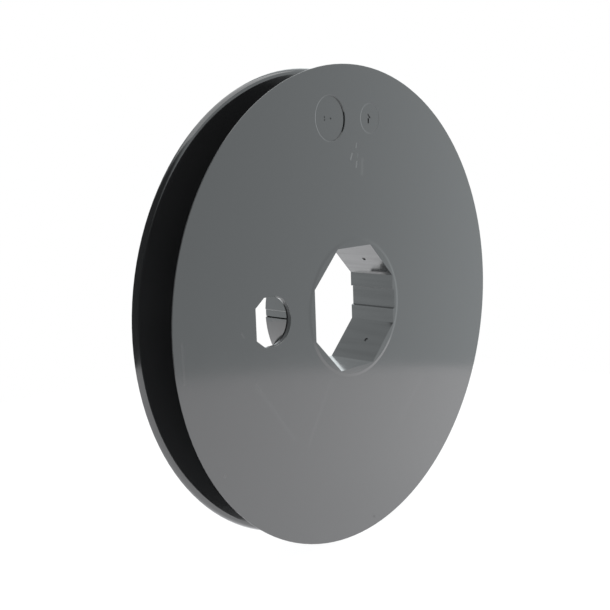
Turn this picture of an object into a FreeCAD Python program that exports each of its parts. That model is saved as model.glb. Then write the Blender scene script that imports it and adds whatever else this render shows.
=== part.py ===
import FreeCAD, Part
import math
import os

from FreeCAD import Vector

# A roller shutter belt pulley, moulded in one piece: two thin discs, a round hub
# between them, and an eight-sided socket right through for the shutter's shaft.
# The shaft runs along Y, the front disc faces -Y and +Z is up.
# The origin is on the axis, halfway along the hub. All sizes are in millimetres.

# Discs
disc_diameter = 160.0
disc_root_thickness = 1.9       # beside the hub
disc_rim_thickness = 1.5        # where the lead-in starts
lead_in_width = 1.7             # radial width of the rounded lead-in inside each rim
lead_in_angle = 6.0             # degrees between the disc's wall and the lead-in's start
edge_bevel = 0.08               # 45 degree bevel around each disc's outer face
rim_land = 0.05                 # straight edge between the bevel and the lead-in

# Groove and hub
belt_width = 14.0
belt_side_gap = 0.15            # each side of the belt, beside the hub
hub_diameter = 50.0
root_bevel = 0.5                # 45 degree bevel between the hub and each disc
front_collar_height = 0.1       # the hub's end stands proud of the disc by this much
back_collar_height = 0.7
collar_diameter = 47.2
collar_slope_run = 1.0          # radial width of the sloped edge of each hub end

# Socket for the eight-sided shaft
shaft_across_flats = 40.0
shaft_gap = 0.45                # each side of the shaft
seam_channel_width = 6.4        # channel that clears the shaft's folded seam
seam_channel_depth = 1.0
seam_channel_flare = 0.35       # how much each side of the channel leans out
gate_mark_diameter = 1.45       # pits left where the plastic was fed in
gate_mark_depth = 0.45
gate_mark_tip = 0.6             # the pit's bottom as a share of its mouth
gate_mark_from_front = 7.6

# Strap fixing: a hole in the front disc, a window in the back one, a channel in the hub
strap_hole_height = 15.6
strap_hole_centre_radius = 39.85
strap_hole_rise = 1.3           # the hole's middle lies this far above the axis
strap_hole_flat_reach = 7.3     # from the hole's centre out to its flat side
strap_hole_corner_run = 3.8     # corner bevel, along the radius
strap_hole_corner_rise = 2.8    # corner bevel, along the flat side
strap_hole_edge_bevel = 0.12    # 45 degree bevel around the hole's front edge
strap_window_height = 23.0
strap_window_depth = 12.0       # from the hub outwards
strap_window_corner = 2.5
hub_channel_width = 2.3         # of the channel's floor
hub_channel_flare = 0.25        # how much each side of the channel leans out
hub_channel_depth = 0.25
hub_channel_rise = 0.15         # the channel's middle lies this far above the axis
hub_slit_width = 0.45           # V-shaped slit along the channel's lower side
hub_slit_depth = 0.9            # from the hub's wall

# Round insert marks near the top of the front disc
insert_height = 62.6            # of both marks, above the axis
insert_side_step = 10.05        # of each mark, from the vertical centre line
large_insert_diameter = 14.9
large_insert_depth = 0.43
small_insert_diameter = 10.1
small_insert_depth = 0.06
insert_flare = 0.24             # how much each mark widens just below the disc's face
insert_flare_depth = 0.07       # or the mark's own depth, if that is less
insert_wall_lean = 0.3          # how far the wall below the flare leans out, per unit of depth
level_arrow_middle = -11.45     # plain arrow in the large insert, pointing to -X
level_arrow_length = 4.3
level_arrow_head_length = 1.2
level_arrow_head_width = 1.6
level_arrow_shaft_width = 0.5
level_arrow_depth = 0.18
upright_arrow_middle = 9.2      # plain arrow in the small insert, pointing up
upright_arrow_length = 3.2
upright_arrow_head_length = 1.5
upright_arrow_head_width = 2.8
upright_arrow_shaft_width = 0.7
upright_arrow_depth = 0.25

# Worked-out sizes
disc_radius = disc_diameter / 2
hub_radius = hub_diameter / 2
collar_radius = collar_diameter / 2
groove_width = belt_width + 2 * belt_side_gap
width_over_discs = groove_width + 2 * disc_root_thickness
hub_length = front_collar_height + width_over_discs + back_collar_height
front_end = -hub_length / 2
back_end = hub_length / 2
front_face = front_end + front_collar_height
back_face = back_end - back_collar_height
front_wall = front_face + disc_root_thickness
back_wall = back_face - disc_root_thickness
socket_flat = shaft_across_flats / 2 + shaft_gap
socket_corner = socket_flat / math.cos(math.pi / 8)
overcut = 1.0                   # how far each cutting shape runs past the surface it opens

axis_way = Vector(0, 1, 0)
out_of_front = Vector(0, -1, 0)


def heading_arc(start, heading, end):
    """Arc that leaves start along heading and stops at end."""
    chord = end - start
    side = heading.cross(Vector(0, 0, 1)).normalize()
    if side.dot(chord) < 0:
        side = side.negative()
    radius = chord.dot(chord) / (2 * side.dot(chord))
    centre = start + side * radius
    middle_way = ((start - centre) + (end - centre)).normalize()
    return Part.Arc(start, centre + middle_way * radius, end).toShape()


def disc_edges(face, wall, rim_wall):
    """Outline of one disc from its collar out to the rim and back in to the hub.

    It lies in the XY plane, with X as the radius from the axis.
    """
    inward = Vector(0, math.copysign(1, wall - face), 0)
    collar_foot = Vector(collar_radius, face, 0)
    bevel_start = Vector(disc_radius - edge_bevel, face, 0)
    bevel_end = Vector(disc_radius, face, 0) + inward * edge_bevel
    land_end = bevel_end + inward * rim_land
    lead_in_start = Vector(disc_radius - lead_in_width, rim_wall, 0)
    hub_foot = Vector(hub_radius, wall, 0)
    outward = (lead_in_start - hub_foot).normalize()
    heading = outward - inward * math.tan(math.radians(lead_in_angle))
    return [
        Part.makeLine(collar_foot, bevel_start),
        Part.makeLine(bevel_start, bevel_end),
        Part.makeLine(bevel_end, land_end),
        heading_arc(lead_in_start, heading, land_end),
        Part.makeLine(lead_in_start, hub_foot),
    ]


def collar_edges(face, end):
    """Outline of the hub's end, from the axis out to the disc's face."""
    top_edge = Vector(collar_radius - collar_slope_run, end, 0)
    return [
        Part.makeLine(Vector(0, end, 0), top_edge),
        Part.makeLine(top_edge, Vector(collar_radius, face, 0)),
    ]


def spool():
    """The turned form: both discs, the hub and its proud ends."""
    front_rim_wall = front_face + disc_rim_thickness
    back_rim_wall = back_face - disc_rim_thickness
    edges = collar_edges(front_face, front_end)
    edges += disc_edges(front_face, front_wall, front_rim_wall)
    edges += disc_edges(back_face, back_wall, back_rim_wall)
    edges += collar_edges(back_face, back_end)
    edges += [
        Part.makeLine(Vector(hub_radius, front_wall, 0), Vector(hub_radius, back_wall, 0)),
        Part.makeLine(Vector(0, front_end, 0), Vector(0, back_end, 0)),
    ]
    half_section = Part.Face(Part.Wire(Part.__sortEdges__(edges)))
    solid = half_section.revolve(Vector(0, 0, 0), axis_way, 360)
    return solid.makeChamfer(root_bevel, groove_roots(solid))


def groove_roots(solid):
    """The two circles where the hub meets the discs."""
    roots = []
    for edge in solid.Edges:
        is_circle = isinstance(edge.Curve, Part.Circle)
        if is_circle and math.isclose(edge.Curve.Radius, hub_radius, abs_tol=1e-6):
            roots.append(edge)
    return roots


def prism(corners, start, length):
    """Straight-sided shape along Y, from its (x, z) corners."""
    points = [Vector(x, start, z) for x, z in corners]
    outline = Part.makePolygon(points + points[:1])
    return Part.Face(outline).extrude(axis_way * length)


def socket():
    """Eight-sided hole with two level flats, two upright ones and four between."""
    angles = [math.radians(22.5 + 45 * k) for k in range(8)]
    corners = [(socket_corner * math.cos(a), socket_corner * math.sin(a)) for a in angles]
    return prism(corners, front_end - overcut, hub_length + 2 * overcut)


def seam_channel():
    """Shallow channel along the socket's right-hand flat."""
    floor_half = seam_channel_width / 2
    mouth_half = floor_half + seam_channel_flare
    floor = socket_flat + seam_channel_depth
    corners = [
        (socket_flat - overcut, -mouth_half),
        (socket_flat, -mouth_half),
        (floor, -floor_half),
        (floor, floor_half),
        (socket_flat, mouth_half),
        (socket_flat - overcut, mouth_half),
    ]
    return prism(corners, front_end - overcut, hub_length + 2 * overcut)


def gate_marks():
    """A pit in each of the four slanting flats."""
    marks = []
    mouth = gate_mark_diameter / 2
    for angle in (45, 135, 225, 315):
        way = Vector(math.cos(math.radians(angle)), 0, math.sin(math.radians(angle)))
        centre = way * socket_flat + Vector(0, front_face + gate_mark_from_front, 0)
        pit = Part.makeCone(mouth, mouth * gate_mark_tip, gate_mark_depth, centre, way)
        stub = Part.makeCylinder(mouth, overcut, centre - way * overcut, way)
        marks.append(pit.fuse(stub))
    return marks


def strap_hole():
    """Hole in the front disc: round towards the hub, flat with bevelled corners outside."""
    half = strap_hole_height / 2
    centre_x = -strap_hole_centre_radius
    flat_x = centre_x - strap_hole_flat_reach
    bevel_x = flat_x + strap_hole_corner_run
    corner = half - strap_hole_corner_rise
    start = front_face - overcut

    def point(x, rise):
        return Vector(x, start, strap_hole_rise + rise)

    top = point(centre_x, half)
    bottom = point(centre_x, -half)
    straight = Part.makePolygon([
        top,
        point(bevel_x, half),
        point(flat_x, corner),
        point(flat_x, -corner),
        point(bevel_x, -half),
        bottom,
    ])
    round_end = Part.Arc(bottom, point(centre_x + half, 0), top).toShape()
    outline = Part.Wire(straight.Edges + [round_end])
    return Part.Face(outline).extrude(axis_way * (disc_root_thickness + 2 * overcut))


def strap_window():
    """Window in the back disc that reaches in to the hub's wall."""
    half = strap_window_height / 2
    outer_x = -(hub_radius + strap_window_depth)
    start = back_wall - 2 * root_bevel
    length = back_face + overcut - start
    block = Part.makeBox(
        -outer_x, length, strap_window_height, Vector(outer_x, start, -half)
    )
    outer_corners = []
    for edge in block.Edges:
        middle = edge.CenterOfMass
        if math.isclose(middle.x, outer_x) and math.isclose(abs(middle.z), half):
            outer_corners.append(edge)
    block = block.makeFillet(strap_window_corner, outer_corners)
    hub = Part.makeCylinder(hub_radius, length, Vector(0, start, 0), axis_way)
    return block.cut(hub)


def hub_channel():
    """Shallow channel along the hub, between the front disc and the window."""
    floor_x = -(hub_radius - hub_channel_depth)
    clear_x = -(hub_radius + root_bevel)
    floor_half = hub_channel_width / 2
    mouth_half = floor_half + hub_channel_flare
    corners = [
        (floor_x, hub_channel_rise - floor_half),
        (floor_x, hub_channel_rise + floor_half),
        (-hub_radius, hub_channel_rise + mouth_half),
        (clear_x, hub_channel_rise + mouth_half),
        (clear_x, hub_channel_rise - mouth_half),
        (-hub_radius, hub_channel_rise - mouth_half),
    ]
    return prism(corners, front_wall, back_face - front_wall)


def hub_slit():
    """Narrow slit along the lower side of the hub's channel, deepest at its top."""
    deepest_x = -(hub_radius - hub_slit_depth)
    clear_x = -(hub_radius + root_bevel)
    bottom = hub_channel_rise - hub_channel_width / 2 - hub_channel_flare
    top = bottom + hub_slit_width
    corners = [(-hub_radius, bottom), (deepest_x, top), (clear_x, top), (clear_x, bottom)]
    return prism(corners, front_wall, back_face - front_wall)


def front_recess(x, diameter, depth):
    """Round recess in the front disc, with a shallow flare and then a steep wall."""
    flare_depth = min(depth, insert_flare_depth)
    wall_top = diameter / 2 - insert_flare
    wall_depth = depth - flare_depth
    flare_start = Vector(x, front_face + flare_depth, insert_height)
    flare_length = flare_depth + overcut
    flare_end = wall_top + insert_flare * flare_length / flare_depth
    recess = Part.makeCone(wall_top, flare_end, flare_length, flare_start, out_of_front)
    if wall_depth > 0:
        floor_centre = Vector(x, front_face + depth, insert_height)
        floor_radius = wall_top - wall_depth * insert_wall_lean
        wall = Part.makeCone(floor_radius, wall_top, wall_depth, floor_centre, out_of_front)
        recess = recess.fuse(wall)
    return recess


def arrow_outline(length, head_length, head_width, shaft_width):
    """Corners of a plain arrow, as (along, across) from its middle, pointing along."""
    foot = -length / 2
    tip = length / 2
    neck = tip - head_length
    return [
        (foot, -shaft_width / 2),
        (neck, -shaft_width / 2),
        (neck, -head_width / 2),
        (tip, 0),
        (neck, head_width / 2),
        (neck, shaft_width / 2),
        (foot, shaft_width / 2),
    ]


def large_insert():
    """Round mark with a slim arrow pointing to -X."""
    recess = front_recess(-insert_side_step, large_insert_diameter, large_insert_depth)
    outline = arrow_outline(
        level_arrow_length,
        level_arrow_head_length,
        level_arrow_head_width,
        level_arrow_shaft_width,
    )
    corners = [(level_arrow_middle - a, insert_height + b) for a, b in outline]
    arrow = prism(corners, front_face + large_insert_depth, level_arrow_depth)
    return recess.fuse(arrow)


def small_insert():
    """Nearly flush round mark with an upright arrow."""
    recess = front_recess(insert_side_step, small_insert_diameter, small_insert_depth)
    outline = arrow_outline(
        upright_arrow_length,
        upright_arrow_head_length,
        upright_arrow_head_width,
        upright_arrow_shaft_width,
    )
    corners = [(upright_arrow_middle + b, insert_height + a) for a, b in outline]
    arrow = prism(corners, front_face + small_insert_depth, upright_arrow_depth)
    return recess.fuse(arrow)


def strap_hole_front_edges(solid):
    """The edges where the strap hole opens in the front disc's face."""
    reach = strap_hole_height / 2
    near = -strap_hole_centre_radius + reach
    far = -strap_hole_centre_radius - strap_hole_flat_reach
    edges = []
    for edge in solid.Edges:
        box = edge.BoundBox
        on_face = abs(box.YMin - front_face) < 1e-4 and abs(box.YMax - front_face) < 1e-4
        in_reach = far - 0.1 < box.XMin and box.XMax < near + 0.1
        if on_face and in_reach and abs(edge.CenterOfMass.z) < strap_hole_height:
            edges.append(edge)
    return edges


def belt_pulley():
    """The whole moulding."""
    cuts = [
        socket(),
        seam_channel(),
        strap_hole(),
        strap_window(),
        hub_channel(),
        hub_slit(),
        large_insert(),
        small_insert(),
    ]
    cuts += gate_marks()
    moulding = spool().cut(cuts).removeSplitter()
    return moulding.makeChamfer(strap_hole_edge_bevel, strap_hole_front_edges(moulding))


os.makedirs("parts", exist_ok=True)
pulley = belt_pulley()
pulley.exportStep("parts/belt_pulley.step")
print("belt_pulley", len(pulley.Solids), "solid, valid", pulley.isValid())
print("volume in cubic centimetres", round(pulley.Volume / 1000, 2))
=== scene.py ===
import bpy
import math
from mathutils import Matrix, Vector


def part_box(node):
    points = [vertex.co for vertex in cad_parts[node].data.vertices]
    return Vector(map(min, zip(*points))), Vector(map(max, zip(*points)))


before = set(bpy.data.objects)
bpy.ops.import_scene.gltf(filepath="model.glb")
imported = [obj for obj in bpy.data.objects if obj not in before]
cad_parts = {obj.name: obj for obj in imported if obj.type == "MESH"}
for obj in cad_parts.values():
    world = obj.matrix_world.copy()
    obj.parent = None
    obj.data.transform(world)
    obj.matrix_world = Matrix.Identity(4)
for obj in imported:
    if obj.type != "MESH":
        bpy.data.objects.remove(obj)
bpy.context.view_layer.update()
print("frame loaded")

# Places on the pulley, in metres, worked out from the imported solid
mm = 0.001
pulleyLow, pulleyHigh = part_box("belt_pulley")
discRadius = (pulleyHigh.x - pulleyLow.x) / 2
tableTopZ = pulleyLow.z
collarHeight = 0.1 * mm       # the hub's front end stands this far proud of the front disc
discFrontY = pulleyLow.y + collarHeight


# Small helpers for node trees

def addNode(tree, kind, **settings):
    node = tree.nodes.new(kind)
    for name, value in settings.items():
        setattr(node, name, value)
    return node


def mathNode(tree, operation, first, second=None):
    node = addNode(tree, "ShaderNodeMath", operation=operation)
    for socket, value in zip(node.inputs, (first, second)):
        if value is None:
            continue
        if isinstance(value, (int, float)):
            socket.default_value = value
        else:
            tree.links.new(value, socket)
    return node.outputs[0]


def rampNode(tree, factor, reach, fromValue, toValue, smooth=True):
    node = addNode(tree, "ShaderNodeMapRange")
    node.interpolation_type = "SMOOTHSTEP" if smooth else "LINEAR"
    tree.links.new(factor, node.inputs["Value"])
    node.inputs["From Min"].default_value, node.inputs["From Max"].default_value = reach
    node.inputs["To Min"].default_value = fromValue
    node.inputs["To Max"].default_value = toValue
    return node.outputs["Result"]


def noiseNode(tree, place, size, detail):
    node = addNode(tree, "ShaderNodeTexNoise")
    node.inputs["Scale"].default_value = 1 / size
    node.inputs["Detail"].default_value = detail
    tree.links.new(place, node.inputs["Vector"])
    return node.outputs["Fac"]


def scaledPlace(tree, place, scale):
    node = addNode(tree, "ShaderNodeVectorMath", operation="MULTIPLY")
    node.inputs[1].default_value = scale
    tree.links.new(place, node.inputs[0])
    return node.outputs[0]


# How far a point lies, in metres, from the line along the shaft through (x, z) in millimetres
def distanceFrom(tree, flatPlace, middle):
    away = addNode(tree, "ShaderNodeVectorMath", operation="DISTANCE")
    tree.links.new(flatPlace, away.inputs[0])
    away.inputs[1].default_value = Vector((middle[0], 0, middle[1])) * mm
    return away.outputs["Value"]


# The pulley: glossy dark grey moulded plastic
pulley = {
    "colour": (0.026, 0.027, 0.028),
    "roughness": 0.13,
    "roughnessSpread": 0.03,
    "mottleSize": 0.018,      # metres, size of the faint cloudiness
    "mottleDetail": 3,
    "mottleDepth": 0.03,      # share by which it lightens and darkens
    "mottleRange": (0.3, 0.7),          # noise values over which the roughness changes
    "grainSize": 0.0006,
    "grainDetail": 2,
    "grainHeight": 0.000002,
    "ior": 1.5,
    "skin": 1.0,              # the smooth moulded skin over the colour
    "skinRoughness": 0.12,
}


# Marks on the front face, at (x, z) in millimetres
marks = {
    "depth": 0.3,             # they reach this far in from the face
    "scuffs": [               # from, to, half width and strength
        ((0.2, 51.2), (-0.5, 49.4), 0.28, 1.0),
        ((2.7, 54.4), (2.4, 53.2), 0.26, 0.75),
        ((2.6, 48.6), (2.2, 46.8), 0.28, 0.85),
        ((5.6, 49.0), (5.1, 44.5), 0.6, 0.25),
        ((3.2, 51.0), (3.0, 50.2), 0.3, 0.3),
        ((-53.4, -0.4), (-52.6, -1.6), 0.3, 0.2),
        ((-76.6, 0.5), (-76.4, -11.0), 0.35, 0.14),
        ((-63.1, -41.8), (-62.9, -42.0), 0.35, 0.2),
    ],
    "weldLines": [            # the same
        ((-13.2, -21.5), (-26.0, -42.3), 0.55, 1.0),
        ((-48.3, -17.0), (-32.2, -38.3), 0.6, 0.9),
        ((38.0, -31.0), (23.0, -45.0), 0.7, 0.9),
    ],
    "specks": [
        ((7.0, -76.2), (7.3, -76.5), 0.35, 1.0),
    ],
    # The rings are a painted highlight of the hollows' edges, kept the same all round
    "rings": [                # middle, radius and half width of the hollows' pale outlines
        ((-10.05, 62.6), 7.33, 0.15),
        ((10.05, 62.6), 4.93, 0.15),
    ],
    "scuffLight": 0.12,       # how much lighter a full scuff is
    # how much lighter the painted highlight round the hollows' edges makes the face
    "ringHighlight": 0.025,       # the same for the outlines
    "weldLight": 0.012,
    "speckDark": 0.6,         # share of the skin's shine that a full speck takes away
}


def strokeMask(tree, flatPlace, stroke):
    start, end, halfWidth, strength = stroke
    first = Vector((start[0], 0, start[1])) * mm
    along = Vector((end[0], 0, end[1])) * mm - first
    offset = addNode(tree, "ShaderNodeVectorMath", operation="SUBTRACT")
    tree.links.new(flatPlace, offset.inputs[0])
    offset.inputs[1].default_value = first
    reach = addNode(tree, "ShaderNodeVectorMath", operation="DOT_PRODUCT")
    tree.links.new(offset.outputs[0], reach.inputs[0])
    reach.inputs[1].default_value = along / along.dot(along)
    share = addNode(tree, "ShaderNodeClamp")
    tree.links.new(reach.outputs["Value"], share.inputs["Value"])
    nearest = addNode(tree, "ShaderNodeVectorMath", operation="SCALE")
    nearest.inputs[0].default_value = along
    tree.links.new(share.outputs[0], nearest.inputs["Scale"])
    away = addNode(tree, "ShaderNodeVectorMath", operation="DISTANCE")
    tree.links.new(offset.outputs[0], away.inputs[0])
    tree.links.new(nearest.outputs[0], away.inputs[1])
    return rampNode(tree, away.outputs["Value"], (0, 2 * halfWidth * mm), strength, 0)


def strokesMask(tree, flatPlace, strokes, onFront):
    strongest = strokeMask(tree, flatPlace, strokes[0])
    for stroke in strokes[1:]:
        strongest = mathNode(tree, "MAXIMUM", strongest, strokeMask(tree, flatPlace, stroke))
    return mathNode(tree, "MULTIPLY", strongest, onFront)


def ringMask(tree, flatPlace, ring, onFront):
    middle, radius, halfWidth = ring
    distance = distanceFrom(tree, flatPlace, middle)
    gap = mathNode(tree, "ABSOLUTE", mathNode(tree, "SUBTRACT", distance, radius * mm))
    return mathNode(tree, "MULTIPLY", rampNode(tree, gap, (0, 2 * halfWidth * mm), 1, 0), onFront)


# How much lighter the marks make the front face; the pale rings round the hollows are a painted highlight of
# their edges
def markLight(tree, flatPlace, onFront):
    scuffs = strokesMask(tree, flatPlace, marks["scuffs"], onFront)
    total = mathNode(tree, "MULTIPLY", scuffs, marks["scuffLight"])
    for ring in marks["rings"]:
        # the rings add a painted highlight round the hollows' edges
        outline = mathNode(tree, "MULTIPLY", ringMask(tree, flatPlace, ring, onFront), marks["ringHighlight"])
        total = mathNode(tree, "ADD", total, outline)
    welds = strokesMask(tree, flatPlace, marks["weldLines"], onFront)
    return mathNode(tree, "ADD", total, mathNode(tree, "MULTIPLY", welds, marks["weldLight"]))


# The strap hole's wall, less glossy than the discs all the way round, and painted paler there: painted light
# standing in for the light the wall catches
holeWall = {
    "middle": (-39.85, 1.3),  # (x, z) in millimetres
    "radius": (6.8, 8.6),     # between these distances from the middle
    "mouth": (0.02, 0.12),    # it comes in between these depths from the front face
    "end": (1.1, 1.4),        # and goes out between these
    # painted light: the paler colour of the hole's wall stands in for the light it catches
    "colour": (0.125, 0.131, 0.134),
    "roughness": 0.55,
    "skin": 0.25,
}


def holeWallMask(tree, flatPlace, depthIn):
    inner, outer = (r * mm for r in holeWall["radius"])
    distance = distanceFrom(tree, flatPlace, holeWall["middle"])
    near = mathNode(tree, "MULTIPLY", mathNode(tree, "GREATER_THAN", distance, inner),
                    mathNode(tree, "LESS_THAN", distance, outer))
    shallow = rampNode(tree, depthIn, [d * mm for d in holeWall["end"]], 1, 0)
    below = rampNode(tree, depthIn, [d * mm for d in holeWall["mouth"]], 0, 1)
    return mathNode(tree, "MULTIPLY", mathNode(tree, "MULTIPLY", near, shallow), below)


# Faint draw streaks along the socket's flats
bore = {
    "reach": 23.0,            # millimetres from the axis
    "start": 0.05,            # millimetres in from the front face
    "streakSize": 1.6,        # millimetres across
    "streakStretch": 0.05,    # scale of the streaks' noise along the shaft, so that they run lengthwise
    "streakDetail": 1,
    "streakRange": (0.4, 0.7),          # noise values over which a streak turns dull
    "streakDull": 0.2,        # share of the skin's shine lost in the dullest streaks
}


def streakMask(tree, place, flatPlace, depthIn):
    inBore = mathNode(tree, "LESS_THAN", distanceFrom(tree, flatPlace, (0, 0)), bore["reach"] * mm)
    inside = mathNode(tree, "MULTIPLY", inBore, mathNode(tree, "GREATER_THAN", depthIn, bore["start"] * mm))
    stretched = scaledPlace(tree, place, (1, bore["streakStretch"], 1))
    streaks = noiseNode(tree, stretched, bore["streakSize"] * mm, bore["streakDetail"])
    dull = rampNode(tree, streaks, bore["streakRange"], 0, bore["streakDull"])
    return mathNode(tree, "MULTIPLY", inside, dull)


def colourPlastic(tree, mottle, wall, light, colourSocket):
    depth, colour = pulley["mottleDepth"], pulley["colour"]
    cloudy = addNode(tree, "ShaderNodeMix", data_type="RGBA")
    cloudy.inputs["A"].default_value = (*[c * (1 - depth) for c in colour], 1)
    cloudy.inputs["B"].default_value = (*[c * (1 + depth) for c in colour], 1)
    tree.links.new(mottle, cloudy.inputs["Factor"])
    # The hole's wall takes its paler colour here, painted light
    paintedPalerWall = addNode(tree, "ShaderNodeMix", data_type="RGBA")
    paintedPalerWall.inputs["B"].default_value = (*holeWall["colour"], 1)
    tree.links.new(wall, paintedPalerWall.inputs["Factor"])
    tree.links.new(cloudy.outputs["Result"], paintedPalerWall.inputs["A"])
    marked = addNode(tree, "ShaderNodeVectorMath", operation="ADD")
    tree.links.new(paintedPalerWall.outputs["Result"], marked.inputs[0])
    tree.links.new(light, marked.inputs[1])
    tree.links.new(marked.outputs[0], colourSocket)


def pulleyPlastic():
    plastic = bpy.data.materials.new("darkMouldedPlastic")
    plastic.use_nodes = True
    tree = plastic.node_tree
    shader = tree.nodes["Principled BSDF"]
    shader.inputs["IOR"].default_value = pulley["ior"]
    shader.inputs["Coat Roughness"].default_value = pulley["skinRoughness"]

    place = addNode(tree, "ShaderNodeTexCoord").outputs["Object"]
    parts = addNode(tree, "ShaderNodeSeparateXYZ")
    tree.links.new(place, parts.inputs[0])
    depthIn = mathNode(tree, "SUBTRACT", parts.outputs["Y"], discFrontY)
    flatPlace = scaledPlace(tree, place, (1, 0, 1))
    onFront = mathNode(tree, "LESS_THAN", depthIn, marks["depth"] * mm)
    mottle = noiseNode(tree, place, pulley["mottleSize"], pulley["mottleDetail"])
    wall = holeWallMask(tree, flatPlace, depthIn)
    colourPlastic(tree, mottle, wall, markLight(tree, flatPlace, onFront), shader.inputs["Base Color"])

    middle, spread = pulley["roughness"], pulley["roughnessSpread"]
    rough = rampNode(tree, mottle, pulley["mottleRange"], middle - spread, middle + spread)
    wallRough = mathNode(tree, "MULTIPLY", wall, holeWall["roughness"])
    tree.links.new(mathNode(tree, "MAXIMUM", rough, wallRough), shader.inputs["Roughness"])

    specks = strokesMask(tree, flatPlace, marks["specks"], onFront)
    speckLoss = mathNode(tree, "MULTIPLY", specks, marks["speckDark"])
    wallLoss = mathNode(tree, "MULTIPLY", wall, pulley["skin"] - holeWall["skin"])
    streakLoss = streakMask(tree, place, flatPlace, depthIn)
    loss = mathNode(tree, "MAXIMUM", mathNode(tree, "MAXIMUM", speckLoss, wallLoss), streakLoss)
    tree.links.new(mathNode(tree, "SUBTRACT", pulley["skin"], loss), shader.inputs["Coat Weight"])

    bump = addNode(tree, "ShaderNodeBump")
    bump.inputs["Distance"].default_value = pulley["grainHeight"]
    tree.links.new(noiseNode(tree, place, pulley["grainSize"], pulley["grainDetail"]), bump.inputs["Height"])
    for socket in ("Normal", "Coat Normal"):
        tree.links.new(bump.outputs["Normal"], shader.inputs[socket])
    return plastic


def dressPulley():
    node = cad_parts["belt_pulley"]
    node.material_slots[0].material = pulleyPlastic()


# The table: a round pale top under the pulley, lit from below
table = {
    "radius": 0.264,
    "sides": 256,
    "colour": (0.6, 0.6, 0.6),
    "glow": 1.25,             # brightness that the lit top adds in reflections
    "glowTint": (0.99, 1.0, 1.022),
    "glowOnPulley": 0.9,      # and as light on the pulley
    "shadowShown": 0.2,       # how much of the shadow on it the camera sees
}


def tableTop():
    mesh = bpy.data.meshes.new("tableTop")
    ring = []
    for k in range(table["sides"]):
        turn = 2 * math.pi * k / table["sides"]
        ring.append((table["radius"] * math.cos(turn), table["radius"] * math.sin(turn), tableTopZ))
    mesh.from_pydata(ring, [], [tuple(range(table["sides"]))])
    mesh.materials.append(tableFinish())
    top = bpy.data.objects.new("tableTop", mesh)
    bpy.context.scene.collection.objects.link(top)


def tableFinish():
    finish = bpy.data.materials.new("tableFinish")
    finish.use_nodes = True
    tree = finish.node_tree
    tree.nodes.remove(tree.nodes["Principled BSDF"])
    output = tree.nodes["Material Output"]
    lit = addNode(tree, "ShaderNodeBsdfDiffuse")
    lit.inputs["Color"].default_value = (*table["colour"], 1)
    path = addNode(tree, "ShaderNodeLightPath")

    glow = addNode(tree, "ShaderNodeEmission")
    glow.inputs["Color"].default_value = (*table["glowTint"], 1)
    extra = mathNode(tree, "MULTIPLY", path.outputs["Is Glossy Ray"], table["glow"] - table["glowOnPulley"])
    tree.links.new(mathNode(tree, "ADD", extra, table["glowOnPulley"]), glow.inputs["Strength"])
    glowing = addNode(tree, "ShaderNodeAddShader")
    tree.links.new(lit.outputs[0], glowing.inputs[0])
    tree.links.new(glow.outputs[0], glowing.inputs[1])

    white = addNode(tree, "ShaderNodeEmission")
    shown = addNode(tree, "ShaderNodeMixShader")
    shown.inputs[0].default_value = table["shadowShown"]
    tree.links.new(white.outputs[0], shown.inputs[1])
    tree.links.new(glowing.outputs[0], shown.inputs[2])
    pick = addNode(tree, "ShaderNodeMixShader")
    tree.links.new(path.outputs["Is Camera Ray"], pick.inputs[0])
    tree.links.new(glowing.outputs[0], pick.inputs[1])
    tree.links.new(shown.outputs[0], pick.inputs[2])
    tree.links.new(pick.outputs[0], output.inputs["Surface"])
    return finish


# The room: white to the camera, even light on the pulley, and in reflections pale walls that darken
# overhead and on one side
room = {
    "light": 0.38,
    "walls": 1.18,            # brightness of the walls in reflections
    "rightWall": 1.35,        # the same straight towards +X
    "rightReach": (0.75, 1),  # it rises to that over these cosines from +X
    "backWall": 1.25,         # how many times brighter it is behind the pulley
    "backReach": (0, 0.6),    # it rises to that over these cosines from +Y
    "ceiling": 0.55,          # share of that left overhead
    "wallTop": (0.55, 0.95),  # heights between which the walls fade, as the sine of the elevation
    "tint": (0.94, 1.0, 1.02),
    "darkWay": (-0.862, -0.507, 0.0),   # the unlit side of the room, beyond the camera's left
    "darkReach": (0.35, 0.58),          # it fades in between these cosines
    "darkShare": 0.03,                  # of the walls' light that is left there
}


# Brightness of the walls by the direction in which they lie
def wallLight(tree, direction):
    parts = addNode(tree, "ShaderNodeSeparateXYZ")
    tree.links.new(direction, parts.inputs[0])
    across = rampNode(tree, parts.outputs["X"], room["rightReach"], room["walls"], room["rightWall"])
    behind = rampNode(tree, parts.outputs["Y"], room["backReach"], 1, room["backWall"])
    rising = rampNode(tree, parts.outputs["Z"], room["wallTop"], 1, room["ceiling"])
    facing = addNode(tree, "ShaderNodeVectorMath", operation="DOT_PRODUCT")
    facing.inputs[1].default_value = room["darkWay"]
    tree.links.new(direction, facing.inputs[0])
    unlit = rampNode(tree, facing.outputs["Value"], room["darkReach"], 1, room["darkShare"])
    lit = mathNode(tree, "MULTIPLY", mathNode(tree, "MULTIPLY", across, behind), rising)
    return mathNode(tree, "MULTIPLY", lit, unlit)


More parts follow.
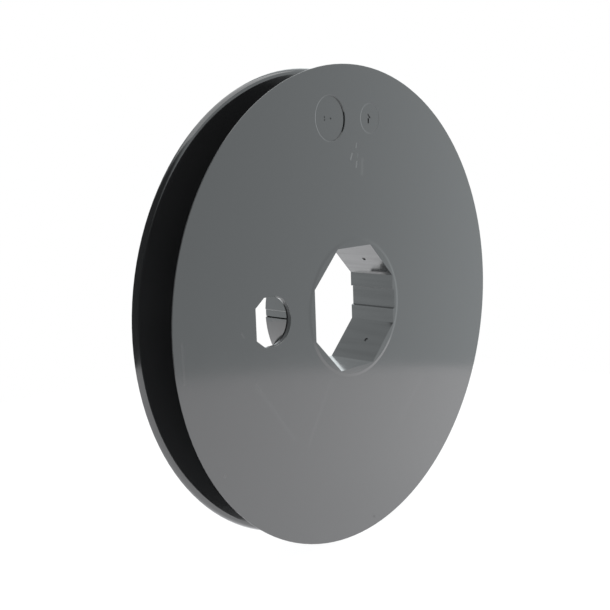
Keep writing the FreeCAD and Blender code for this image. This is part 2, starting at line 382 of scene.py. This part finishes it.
def buildRoom():
    world = bpy.data.worlds.new("room")
    bpy.context.scene.world = world
    world.use_nodes = True
    tree = world.node_tree
    plain = tree.nodes["Background"]
    plain.inputs["Strength"].default_value = room["light"]
    plain.inputs["Color"].default_value = (1, 1, 1, 1)
    output = tree.nodes["World Output"]

    direction = addNode(tree, "ShaderNodeTexCoord").outputs["Generated"]
    studio = addNode(tree, "ShaderNodeBackground")
    studio.inputs["Color"].default_value = (*room["tint"], 1)
    tree.links.new(wallLight(tree, direction), studio.inputs["Strength"])
    white = addNode(tree, "ShaderNodeBackground")
    white.inputs["Color"].default_value = (1, 1, 1, 1)

    path = addNode(tree, "ShaderNodeLightPath")
    reflected = addNode(tree, "ShaderNodeMixShader")
    tree.links.new(path.outputs["Is Glossy Ray"], reflected.inputs[0])
    tree.links.new(plain.outputs[0], reflected.inputs[1])
    tree.links.new(studio.outputs[0], reflected.inputs[2])
    seen = addNode(tree, "ShaderNodeMixShader")
    tree.links.new(path.outputs["Is Camera Ray"], seen.inputs[0])
    tree.links.new(reflected.outputs[0], seen.inputs[1])
    tree.links.new(white.outputs[0], seen.inputs[2])
    tree.links.new(seen.outputs[0], output.inputs["Surface"])


# The lamp: one soft box above the pulley, aimed at it
softBox = {
    "place": (0.1, -0.15, 1.0),
    "size": 1.0,
    "power": 5.0,             # watts
}


def addSoftBox():
    light = bpy.data.lights.new("overhead", "AREA")
    light.shape = "SQUARE"
    light.size = softBox["size"]
    light.energy = softBox["power"]
    lamp = bpy.data.objects.new("overhead", light)
    lamp.location = softBox["place"]
    lamp.rotation_mode = "QUATERNION"
    lamp.rotation_quaternion = Vector(softBox["place"]).to_track_quat("Z", "Y")
    lamp.visible_camera = False
    bpy.context.scene.collection.objects.link(lamp)


# The camera: measured from the photograph, in the disc's own frame
view = {
    "azimuth": -47.676,       # degrees, from straight in front towards -X
    "elevation": 7.175,
    "roll": -0.185,
    "socketTurn": 2.695,      # the photographed pulley is turned this far about its axis
    "distance": 4.0497,       # in disc radii, to the plane of aim
    "aimRight": 0.21402,      # in disc radii, how far the disc's centre sits right of the middle
    "aimUp": -0.00939,
    "focalPixels": 960.22,
    "pictureWidth": 610,
    "sensorWidth": 36,        # millimetres
    "nearClip": 0.01,
}


def addCamera():
    az, el, roll = (math.radians(view[name]) for name in ("azimuth", "elevation", "roll"))
    back = Vector((math.sin(az) * math.cos(el), -math.cos(az) * math.cos(el), math.sin(el)))
    right = Vector((math.cos(az), math.sin(az), 0))
    up = back.cross(right)
    rolledRight = right * math.cos(roll) + up * math.sin(roll)
    rolledUp = up * math.cos(roll) - right * math.sin(roll)
    place = view["distance"] * back - view["aimRight"] * rolledRight - view["aimUp"] * rolledUp
    turn = Matrix.Rotation(math.radians(view["socketTurn"]), 3, "Y")
    axes = turn @ Matrix((rolledRight, rolledUp, back)).transposed()
    data = bpy.data.cameras.new("camera")
    data.sensor_width = view["sensorWidth"]
    data.lens = view["focalPixels"] * view["sensorWidth"] / view["pictureWidth"]
    data.clip_start = view["nearClip"]
    camera = bpy.data.objects.new("camera", data)
    camera.matrix_world = axes.to_4x4()
    camera.location = turn @ place * discRadius + Vector((0, discFrontY, 0))
    bpy.context.scene.collection.objects.link(camera)
    bpy.context.scene.camera = camera


dressPulley()
print("pulley finished")
tableTop()
buildRoom()
addSoftBox()
addCamera()
print("stage, lamp and camera placed")

bpy.context.scene.view_settings.view_transform = "Standard"
bpy.context.view_layer.update()
